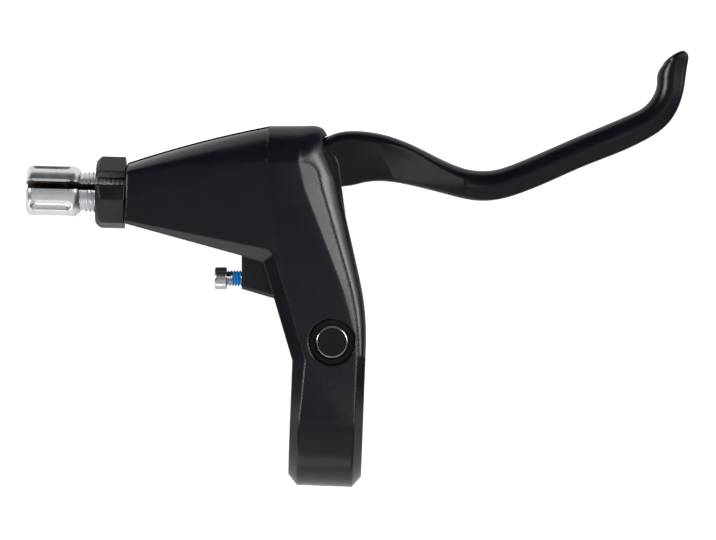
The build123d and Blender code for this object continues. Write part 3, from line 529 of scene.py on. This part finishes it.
# Satin black paint on forged aluminium, darker and less reflective than the bracket's: painted shade for
# the finger's darker shading.
BLADE_PAINT = Finish(
    "satin_paint_on_forged_aluminium",
    "#05060e",
    "#090a12",
    roughness=0.26,
    roughness_spread=0.03,
    cloud_size=9.0,
    grain_size=0.5,
    grain_height=0.004,
    ior=1.4,
    edge_round=0.3,
)

# Blackened steel: a smooth dark oxide, with a band of bright metal round the rim of the head as a painted
# highlight on its chamfer.
PIVOT_STEEL = BandedFinish(
    "blackened_steel_with_painted_rim_highlight",
    "#020306",
    "#05060a",
    roughness=0.14,
    roughness_spread=0.03,
    cloud_size=2.5,
    grain_size=0.3,
    grain_height=0.003,
    joint="blade_pull",
    # Painted highlight: the bright metal band round the rim of the head.
    band_tone="#c8cbd0",
    band_start=3.62,
    band_end=4.3,
)

# Moulded black plastic: even and half matt, with the grain of its mould.
BLACK_PLASTIC = Finish(
    "moulded_black_plastic",
    "#08090f",
    "#0d0e14",
    roughness=0.36,
    roughness_spread=0.05,
    cloud_size=3.0,
    grain_size=0.3,
    grain_height=0.008,
    ior=1.42,
)

# Moulded black elastomer of the collar: dull, and made darker and less reflective than the paint as painted
# shade for the gap round the axle head.
COLLAR_PLASTIC = Finish(
    "moulded_black_elastomer_with_painted_gap_shade",
    "#040406",
    "#070709",
    roughness=0.62,
    roughness_spread=0.05,
    cloud_size=3.0,
    grain_size=0.3,
    grain_height=0.008,
    ior=1.3,
)

# Moulded acetal: an ivory bearing plastic with a dull shine.
BUSH_PLASTIC = Finish(
    "moulded_acetal",
    "#8c8880",
    "#9a958c",
    roughness=0.45,
    roughness_spread=0.04,
    cloud_size=3.0,
    grain_size=0.3,
    grain_height=0.004,
)

# Drawn spring wire: grey steel with a light oil film.
SPRING_STEEL = Finish(
    "drawn_spring_wire",
    "#8a8a8d",
    "#9b9b9e",
    roughness=0.3,
    roughness_spread=0.06,
    cloud_size=1.5,
    grain_size=0.2,
    grain_height=0.003,
    metallic=1.0,
)

# Zinc-plated steel: a cool bright grey with slightly uneven gloss.
ZINC_STEEL = Finish(
    "zinc_plated_steel",
    "#bfc1c4",
    "#d2d4d7",
    roughness=0.26,
    roughness_spread=0.06,
    cloud_size=1.2,
    grain_size=0.25,
    grain_height=0.004,
    metallic=1.0,
)

# Zinc-plated steel with a thread-lock patch: the same bright grey, and a strong blue band on the thread.
REACH_STEEL = BandedFinish(
    "zinc_plated_steel_with_thread_lock",
    "#bfc1c4",
    "#d2d4d7",
    roughness=0.22,
    roughness_spread=0.05,
    cloud_size=1.2,
    grain_size=0.25,
    grain_height=0.004,
    metallic=1.0,
    joint="reach_screw_turn",
    measure=Measure.ALONG,
    band_tone="#27a0f2",
    band_metallic=0.0,
    band_start=22.45,
    band_end=24.25,
    band_edge=0.25,
)

# Turned and polished aluminium: bright and cool, with its bore and the cone at its mouth painted a dark
# tone as painted shade in the bore.
BARREL_ALUMINIUM = BandedFinish(
    "turned_polished_aluminium_with_painted_bore_shade",
    "#dfe1e4",
    "#eceef0",
    roughness=0.3,
    roughness_spread=0.04,
    cloud_size=2.0,
    grain_size=0.4,
    grain_height=0.002,
    metallic=1.0,
    joint="barrel_turn",
    # Painted shade: the dark tone of the bore, out to 3.3 mm from the barrel's line.
    band_tone="#5c534a",
    band_end=3.3,
    band_edge=0.5,
)


# Sub-assemblies


def settle(piece: bpy.types.Object, body: Body, slot: str, finish: Finish, *nodes: str) -> None:
    """Dress a piece, let it ride on its body and let it stand for its solids.

    Args:
        piece: The piece.
        body: The body that carries it.
        slot: The material slot of the record; not used.
        finish: The finish that dresses it.
        nodes: The solids that it stands for.
    """
    piece.data.materials.clear()
    piece.data.materials.append(finish.material())
    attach(piece, body.value)
    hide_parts(*nodes)
    LOG.info("%s: %d faces, on %s", piece.name, len(piece.data.polygons), body.value)


@dataclass
class Bracket:
    """The cast bracket with its clamp, its arm and its cable arm."""

    edge_angle: float = 14.5
    end_round: float = 1.0
    end_segments: int = 8
    rim_reach: float = 0.02

    def build(self) -> None:
        """Weld the casting and round the end of its cable arm."""
        casting = welded_copy("bracket_casting", "bracket_body", self.edge_angle)
        self.round_end(casting)
        settle(casting, Body.BRACKET, "bracket_paint", BRACKET_PAINT, "bracket_body")

    def round_end(self, casting: bpy.types.Object) -> None:
        """Round the rim of the cable arm's end: the corners that lie furthest along the barrel's line.

        Args:
            casting: The welded casting.
        """
        along = points_of(casting.data) @ np.array(axis_of("barrel_turn").ahead)
        rim = np.flatnonzero(along > along.max() - self.rim_reach * MM)
        group = casting.vertex_groups.new(name="arm_end")
        group.add(rim.tolist(), 1.0, "REPLACE")
        bevel = casting.modifiers.new("end_round", "BEVEL")
        bevel.width = self.end_round * MM
        bevel.segments = self.end_segments
        bevel.limit_method = "VGROUP"
        bevel.vertex_group = group.name
        LOG.info("bracket_casting: %d corners on the rim of the cable arm", len(rim))


@dataclass(frozen=True)
class TipCorner:
    """A corner of the blade's tip: its bearing in degrees from +Y to +X, its start and its room."""

    bearing: float
    start: float
    room: float


@dataclass
class FingerLever:
    """The forged lever with its root and its finger blade."""

    edge_angle: float = 14.0
    tip_start: tuple[float, float] = (75.0, 86.0)
    outer_corner: TipCorner = TipCorner(43.0, 124.8, 2.1)
    inner_corner: TipCorner = TipCorner(-49.2, -1.0, 1.25)

    def build(self) -> None:
        """Weld the forging and round its tip."""
        forging = welded_copy("finger_forging", "lever_blade", self.edge_angle)
        self.round_tip(forging.data)
        settle(forging, Body.BLADE, "blade_paint", BLADE_PAINT, "lever_blade")

    def round_tip(self, mesh: bpy.types.Mesh) -> None:
        """Round the two corners of the tip.

        Past a corner's start, a distance h along its bearing becomes start + room tanh((h - start) / room),
        so that it never passes start + room.

        Args:
            mesh: The welded mesh of the forging, changed in place.
        """
        points = points_of(mesh) / MM
        tip = (points[:, 0] > self.tip_start[0]) & (points[:, 1] > self.tip_start[1])
        for corner in (self.outer_corner, self.inner_corner):
            turn = radians(corner.bearing)
            way = np.array([sin(turn), cos(turn), 0.0])
            past = np.where(tip, np.clip(points @ way - corner.start, 0, None), 0)
            points = points + np.outer(corner.room * np.tanh(past / corner.room) - past, way)
        mesh.vertices.foreach_set("co", (points * MM).astype(np.float32).ravel())
        mesh.update()


@dataclass
class Pivot:
    """The axle with its collar, its bushes, its clip and the return spring."""

    edge_round: float = 0.12
    edge_angle: float = 25.0
    spring_angle: float = 40.0

    def build(self) -> None:
        """Weld each turned piece and soften its edges."""
        pieces = [
            ("axle_pin", "pivot_axle", Body.BRACKET, "pivot_steel", PIVOT_STEEL),
            ("axle_collar", "pivot_collar", Body.BRACKET, "black_plastic", COLLAR_PLASTIC),
            ("axle_clip", "pivot_clip", Body.BRACKET, "plain_steel", ZINC_STEEL),
            ("bush_above", "pivot_bush_upper", Body.BLADE, "bush_plastic", BUSH_PLASTIC),
            ("bush_below", "pivot_bush_lower", Body.BLADE, "bush_plastic", BUSH_PLASTIC),
        ]
        for name, node, body, slot, finish in pieces:
            piece = welded_copy(name, node, self.edge_angle)
            soften(piece, self.edge_round, self.edge_angle)
            settle(piece, body, slot, finish, node)
        spring = welded_copy("spring_coil", "return_spring", self.spring_angle)
        settle(spring, Body.BRACKET, "spring_steel", SPRING_STEEL, "return_spring")


@dataclass
class BarrelAdjuster:
    """The slotted barrel with its thread and flutes, and the lock ring."""

    thread_radius: float = 5.0
    thread_pitch: float = 1.0
    thread_depth: float = 0.55
    thread_start: float = -12.5
    thread_shown: float = -1.0
    thread_end: float = 10.9
    thread_chamfer: float = 0.6
    neck_radius: float = 4.85
    shoulder: float = 12.85
    end: float = 24.35
    head_radius: float = 6.15
    end_round: float = 1.6
    flute_count: int = 7
    flute_radius: float = 2.1
    flute_middle: float = 7.5
    flute_start: float = 14.7
    flute_end: float = 21.9
    bore_radius: float = 1.6
    cone_length: float = 0.9
    socket_radius: float = 3.1
    socket_floor: float = 15.35
    slot_width: float = 1.6
    slot_turn: float = 14.0
    smooth_angle: float = 30.0
    columns: int = 168
    rows_per_pitch: int = 12
    neck_rows: int = 12
    entry_rows: int = 24
    flute_rows: int = 6
    exit_rows: int = 12
    round_rows: int = 14
    step_gap: float = 0.01
    row_gap: float = 0.1
    flute_gap: float = 0.4
    ring_angle: float = 20.0
    ring_round: float = 0.25

    def build(self) -> None:
        """Make the barrel and weld the lock ring."""
        barrel = grid_piece("adjuster_screw", self.barrel_points(), self.smooth_angle)
        settle(barrel, Body.BARREL, "barrel_aluminium", BARREL_ALUMINIUM, "adjuster_barrel")
        ring = welded_copy("locking_ring", "adjuster_lock_ring", self.ring_angle)
        soften(ring, self.ring_round, self.ring_angle)
        settle(ring, Body.LOCK_RING, "black_plastic", BLACK_PLASTIC, "adjuster_lock_ring")

    def outer_radius(self, angle: np.ndarray, height: np.ndarray) -> np.ndarray:
        """Radius of the outside: a helical thread, a round shoulder and a fluted head with a round end.

        The thread is a triangle wave of height less turns. Each flute is what a ball cuts on its way along
        the head: the radius at which a ray from the axis meets the ball. The shoulder rises by a quarter of
        a sine wave, and the end is a quarter circle.

        Args:
            angle: Angles round the axis, measured from the slot.
            height: Distances along the axis in millimetres, one column.

        Returns:
            Radii in millimetres, one row for each height.
        """
        entry = np.clip((height - self.thread_start) / self.thread_chamfer, 0, 1)
        leave = np.clip((self.thread_end - height) / self.thread_chamfer, 0, 1)
        wave = thread_wave(height / self.thread_pitch - angle / (2 * pi))
        crest = self.thread_radius - self.thread_chamfer * (1 - entry)
        root = self.thread_radius - self.thread_depth
        thread = np.minimum(root + self.thread_depth * wave * leave, crest)
        rise = np.clip((height - self.thread_end) / (self.shoulder - self.thread_end), 0, 1)
        neck = self.neck_radius + (self.head_radius - self.neck_radius) * np.sin(rise * pi / 2)
        turn = np.clip((height - (self.end - self.end_round)) / self.end_round, 0, 1)
        head = self.head_radius - self.end_round * (1 - np.sqrt(1 - turn**2))
        pitch = 2 * pi / self.flute_count
        off = np.mod(angle + pitch / 2, pitch) - pitch / 2
        past = height - np.clip(height, self.flute_start, self.flute_end)
        chord = self.flute_radius**2 - (self.flute_middle * np.sin(off)) ** 2 - past**2
        flute = self.flute_middle * np.cos(off) - np.sqrt(np.clip(chord, 0, None))
        fluted = np.where(chord > 0, np.minimum(head, flute), head)
        body = np.where(height > self.shoulder, fluted, neck + 0 * angle)
        return np.where(height <= self.thread_end, thread, body)

    def inner_radius(self, height: np.ndarray) -> np.ndarray:
        """Radius of the inside: the wire's bore, then a drilled cone up to the socket of the casing."""
        share = np.clip((height - self.socket_floor) / self.cone_length + 1, 0, 1)
        return self.bore_radius + (self.socket_radius - self.bore_radius) * share

    def barrel_points(self) -> np.ndarray:
        """Carry a closed C-shaped loop along the axis: outer arc, slot wall, inner arc, slot wall.

        The two arcs have the same number of points, so the first and the last loop fold the outer arc onto
        the inner one and close the ends. The thread inside the bracket has half as many rows.

        Returns:
            The grid of points in metres.
        """
        step = self.thread_pitch / self.rows_per_pitch
        quarter = np.linspace(0, pi / 2, self.round_rows)[1:]
        parts = [
            np.arange(self.thread_start, self.thread_shown, 2 * step),
            np.arange(self.thread_shown, self.thread_end, step),
            np.linspace(self.thread_end, self.shoulder, self.neck_rows)[:-1],
            np.array([self.shoulder, self.shoulder + self.step_gap]),
            np.linspace(self.shoulder + self.row_gap, self.flute_start, self.entry_rows),
            np.linspace(self.flute_start + self.flute_gap, self.flute_end, self.flute_rows),
            np.linspace(self.flute_end + self.row_gap, self.end - self.end_round, self.exit_rows),
            self.end - self.end_round * (1 - np.sin(quarter)),
        ]
        height = np.concatenate(parts)[:, None]
        share = np.linspace(0, 1, self.columns)[None, :]
        half = self.slot_width / 2
        outer_start = np.arcsin(half / self.neck_radius)
        outer_angle = outer_start + share * (2 * pi - 2 * outer_start)
        outer = self.outer_radius(outer_angle, height)
        inner = self.inner_radius(height) + 0 * share
        inner_start = np.arcsin(half / inner)
        inner_angle = inner_start + share * (2 * pi - 2 * inner_start)
        turn = radians(self.slot_turn)
        axis = axis_of("barrel_turn")
        outside = axis.place(outer, outer_angle + turn, height)
        inside = axis.place(inner, inner_angle + turn, height)
        loops = np.concatenate([outside, inside[:, ::-1]], axis=1)
        fold = np.concatenate([inside, inside[:, ::-1]], axis=1)
        return np.concatenate([fold[:1], loops, fold[-1:]])


@dataclass(frozen=True)
class SocketScrew:
    """A cap screw with a helical thread, a round head and a hexagon socket, by places along its line."""

    tip: float
    seat: float
    diameter: float
    pitch: float
    head_diameter: float
    head_height: float
    key: float
    key_depth: float
    depth_share: float = 0.6
    rim: float = 0.4
    lead_in: float = 0.08
    floor_cone: float = 0.1
    columns: int = 72
    rows_per_pitch: int = 10
    rim_rows: int = 6

    def points(self, axis: Axis) -> np.ndarray:
        """Turn a profile whose radius also follows the angle: thread, seat, head, rim and hexagon socket.

        The thread is a triangle wave of height less turns, which fades at both ends. The socket's radius
        is that of a hexagon: half the key over the cosine of the angle from the middle of a side.

        Args:
            axis: The line of the screw, from its tip to its head.

        Returns:
            The grid of points in metres.
        """
        angle = np.arange(self.columns)[None, :] * 2 * pi / self.columns
        flat = np.zeros_like(angle)
        crest = self.diameter / 2
        root = crest - self.depth_share * self.pitch
        height = np.arange(self.tip, self.seat, self.pitch / self.rows_per_pitch)[:, None]
        entry = np.clip((height - self.tip) / self.pitch, 0, 1)
        leave = np.clip((self.seat - height) / self.pitch, 0, 1)
        wave = thread_wave(height / self.pitch - angle / (2 * pi))
        thread = root + (crest - root) * np.minimum(wave * entry, leave + flat)
        head = self.head_diameter / 2
        end = self.seat + self.head_height
        turn = np.linspace(0, pi / 2, self.rim_rows)[:, None]
        hexagon = self.key / 2 / np.cos(np.mod(angle, pi / 3) - pi / 6)
        floor = end - self.key_depth
        profile = [
            (flat, self.tip),
            (thread, height),
            (root, self.seat),
            (head - self.rim / 2, self.seat),
            (head, self.seat + self.rim / 2),
            (head - self.rim * (1 - np.cos(turn)), end - self.rim * (1 - np.sin(turn))),
            (hexagon * (1 + self.lead_in), end),
            (hexagon, end - self.lead_in * self.key),
            (hexagon, floor),
            (flat, floor - self.floor_cone * self.key),
        ]
        radius = np.concatenate([stretch + flat for stretch, _ in profile])
        place = np.concatenate([along + flat for _, along in profile])
        return axis.place(radius, angle, place)


@dataclass
class Screws:
    """The reach screw in its boss, and the bolt and nut that close the clamp."""

    reach: SocketScrew = SocketScrew(
        tip=9.92,
        seat=25.8,
        diameter=4.0,
        pitch=0.7,
        head_diameter=5.4,
        head_height=2.95,
        key=2.0,
        key_depth=1.5,
    )
    bolt: SocketScrew = SocketScrew(
        tip=-11.0,
        seat=4.0,
        diameter=5.0,
        pitch=0.8,
        head_diameter=8.5,
        head_height=5.0,
        key=4.0,
        key_depth=2.5,
    )
    bolt_height: float = -19.05
    smooth_angle: float = 30.0
    nut_angle: float = 20.0
    nut_round: float = 0.3
    nut_round_angle: float = 30.0

    def build(self) -> None:
        """Make the two screws and weld the nut."""
        line = axis_of("reach_screw_turn")
        reach = grid_piece("reach_stop_screw", self.reach.points(line), self.smooth_angle)
        settle(reach, Body.REACH, "plain_steel", REACH_STEEL, "reach_screw")
        line = Axis((0, 0, self.bolt_height * MM), (1, 0, 0), (0, 0, -1), (0, 1, 0))
        bolt = grid_piece("clamping_bolt", self.bolt.points(line), self.smooth_angle)
        settle(bolt, Body.BRACKET, "plain_steel", ZINC_STEEL, "clamp_bolt")
        nut = welded_copy("clamping_nut", "clamp_nut", self.nut_angle)
        soften(nut, self.nut_round, self.nut_round_angle)
        settle(nut, Body.BRACKET, "plain_steel", ZINC_STEEL, "clamp_nut")


# Studio


@dataclass(frozen=True)
class Softbox:
    """One lamp: its bearing and rise in degrees as seen from the lever, its distance, size and brightness.

    Azimuth 0 is in front of the lever (+Y) and 90 at its right (+X). Lengths are in metres.
    """

    name: str
    azimuth: float
    elevation: float
    distance: float
    width: float
    height: float
    brightness: float


LAMPS = (
    Softbox("above", 0, 90, 1.9, 1.3, 1.3, 0.27),
    Softbox("front_top", 62, 75, 1.6, 0.26, 0.26, 4.0),
    Softbox("key_right", 58, 46, 1.0, 0.36, 0.26, 13.0),
    Softbox("side_right", 76, 43, 1.0, 0.22, 0.22, 10.0),
    Softbox("right_low", 60, 28, 1.0, 0.42, 0.4, 1.6),
    Softbox("rear_low", 208, 15, 1.2, 1.3, 0.5, 2.0),
    Softbox("rear_high", 170, 48, 1.6, 1.8, 1.5, 0.5),
    Softbox("left_mid", 284, 38, 1.2, 0.4, 0.4, 12.0),
)


@dataclass
class Studio:
    """The camera above the lever, the white table and the lamps round it, in metres."""

    middle: tuple[float, float, float] = (0.005, 0.04, 0.0)
    camera_place: tuple[float, float, float] = (0.006233, 0.038144, 1.5)
    lens: float = 307.9
    sensor: float = 36.0
    table_gap: float = 0.002
    table_size: float = 6.0
    table_tone: str = "#c8c8c8"
    table_roughness: float = 0.9
    table_glow: float = 0.84
    table_mirror: float = 0.35
    light_tone: str = "#ffffff"
    world_level: float = 0.06

    def build(self) -> None:
        """Set up the camera, the lamps, the table and the world."""
        bpy.context.scene.view_settings.view_transform = "Standard"
        self.add_camera()
        for box in LAMPS:
            self.add_lamp(box)
        self.add_table()
        self.add_world()
        LOG.info("studio: camera, table and %d lamps", len(LAMPS))

    def add_camera(self) -> None:
        """Hang the camera over the lever, looking straight down."""
        lens = bpy.data.cameras.new("above")
        lens.lens = self.lens
        lens.sensor_width = self.sensor
        lens.dof.use_dof = False
        camera = add_object("above", lens)
        camera.location = self.camera_place
        camera.rotation_euler = (0, 0, TOE)
        bpy.context.scene.camera = camera

    def add_lamp(self, box: Softbox) -> None:
        """Hang one softbox and turn it to the lever.

        Args:
            box: The lamp.
        """
        lamp = bpy.data.lights.new(box.name, "AREA")
        lamp.shape = "RECTANGLE"
        lamp.size = box.width
        lamp.size_y = box.height
        lamp.energy = box.brightness * pi * box.width * box.height
        stand = add_object(box.name, lamp)
        turn, rise = radians(box.azimuth), radians(box.elevation)
        away = Vector((sin(turn) * cos(rise), cos(turn) * cos(rise), sin(rise)))
        stand.location = Vector(self.middle) + away * box.distance
        stand.rotation_mode = "QUATERNION"
        stand.rotation_quaternion = (-away).to_track_quat("-Z", "Y")

    def add_table(self) -> None:
        """Lay the table just under the lever: one square face."""
        height = CAD_BOX[0].z - self.table_gap
        square = np.array([(-1, -1, 0), (1, -1, 0), (1, 1, 0), (-1, 1, 0)])
        mesh = bpy.data.meshes.new("table")
        mesh.from_pydata(square * self.table_size / 2 + np.array([0, 0, height]), [], [(0, 1, 2, 3)])
        table = add_object("table", mesh)
        mesh.materials.append(self.table_material())

    def table_material(self) -> bpy.types.Material:
        """White paper: it glows a little to the eye and less in mirrors, and keeps the lever's shadow.

        Returns:
            The material of the table.
        """
        made = bpy.data.materials.new("white_table")
        tree = empty_tree(made)
        rays = add_node(tree, "ShaderNodeLightPath", {}).outputs
        direct = {0: rays["Is Camera Ray"], 1: rays["Is Transmission Ray"]}
        seen = add_node(tree, "ShaderNodeMath", direct, operation="MAXIMUM").outputs[0]
        glossy = {0: rays["Is Glossy Ray"], 1: self.table_mirror}
        mirrored = add_node(tree, "ShaderNodeMath", glossy, operation="MULTIPLY").outputs[0]
        both = {0: seen, 1: self.table_glow, 2: mirrored}
        glow = add_node(tree, "ShaderNodeMath", both, operation="MULTIPLY_ADD").outputs[0]
        paper = add_node(
            tree,
            "ShaderNodeBsdfPrincipled",
            {
                "Base Color": linear(self.table_tone),
                "Roughness": self.table_roughness,
                "Emission Color": linear(self.light_tone),
                "Emission Strength": glow,
            },
        )
        add_node(tree, "ShaderNodeOutputMaterial", {"Surface": paper.outputs["BSDF"]})
        return made

    def add_world(self) -> None:
        """Fill the room with a dim even light."""
        world = bpy.data.worlds.new("studio_room")
        bpy.context.scene.world = world
        tree = empty_tree(world)
        light = {"Color": linear(self.light_tone), "Strength": self.world_level}
        room = add_node(tree, "ShaderNodeBackground", light)
        add_node(tree, "ShaderNodeOutputWorld", {"Surface": room.outputs["Background"]})


def main() -> None:
    """Build the lever's sub-assemblies and the studio."""
    logging.basicConfig(level=logging.INFO, format="%(name)s: %(message)s")
    for part in (Bracket(), FingerLever(), Pivot(), BarrelAdjuster(), Screws(), Studio()):
        part.build()


if __name__ == "__main__":
    main()
